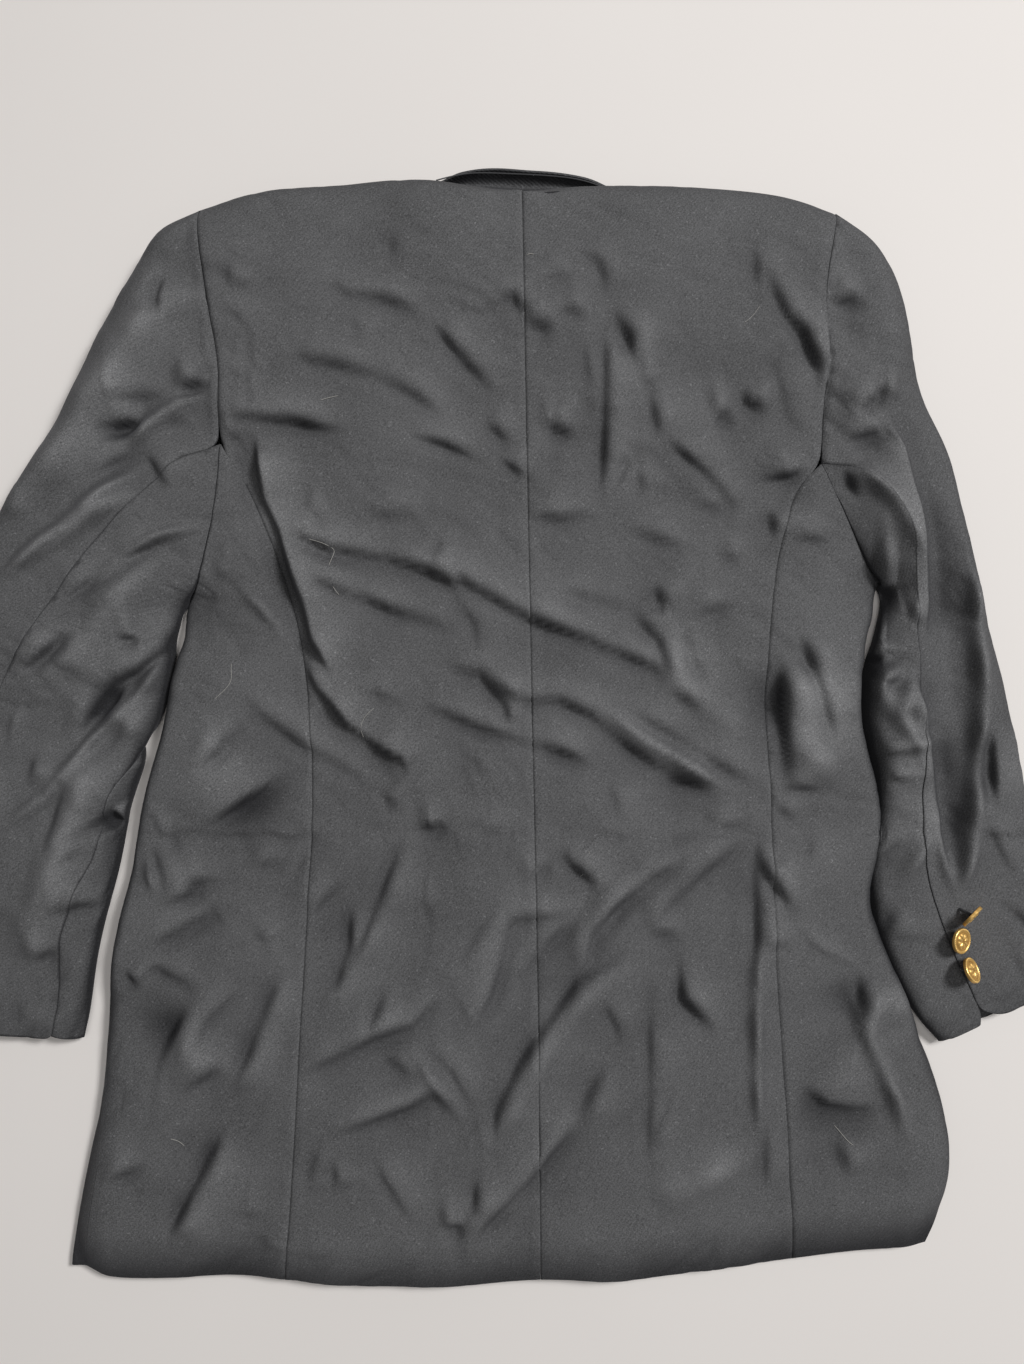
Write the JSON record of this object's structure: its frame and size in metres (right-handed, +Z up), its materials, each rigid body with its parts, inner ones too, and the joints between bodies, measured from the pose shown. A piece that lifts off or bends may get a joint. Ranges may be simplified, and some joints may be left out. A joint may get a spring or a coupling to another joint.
{
  "type": "blazer",
  "caption": "Dark wool blazer with long sleeves and gilt cuff buttons, lying face down with its back up, hollow from hem to neck.",
  "frame": {"origin": "point on the flat underside near the middle of the garment, on the surface it rests on", "axes": "+X across the back toward the sleeve on the right as seen from above, +Y toward the collar, +Z up from the surface it rests on"},
  "size_m": [0.8028, 0.7423, 0.0324],
  "materials": {
    "wool_gabardine": "charcoal wool gabardine, fine steep twill, matt with a soft sheen",
    "collar_cloth": "same cloth with a brushed felt under-collar",
    "gilt_button": "gilt, polished on its relief, dull in its ground"
  },
  "bodies": {
    "root": {"back_left": "wool_gabardine", "back_right": "wool_gabardine", "side_left": "wool_gabardine", "side_right": "wool_gabardine", "front_left": "wool_gabardine", "front_right": "wool_gabardine", "lapel_left": "wool_gabardine", "lapel_right": "wool_gabardine", "sleeve_left_top": "wool_gabardine", "sleeve_left_under": "wool_gabardine", "sleeve_right_top": "wool_gabardine", "sleeve_right_under": "wool_gabardine", "collar": "collar_cloth", "right_cuff_button_1": "gilt_button", "right_cuff_button_2": "gilt_button", "right_cuff_button_3": "gilt_button", "left_cuff_button_1": "gilt_button", "left_cuff_button_2": "gilt_button", "left_cuff_button_3": "gilt_button"}
  },
  "joints": []
}
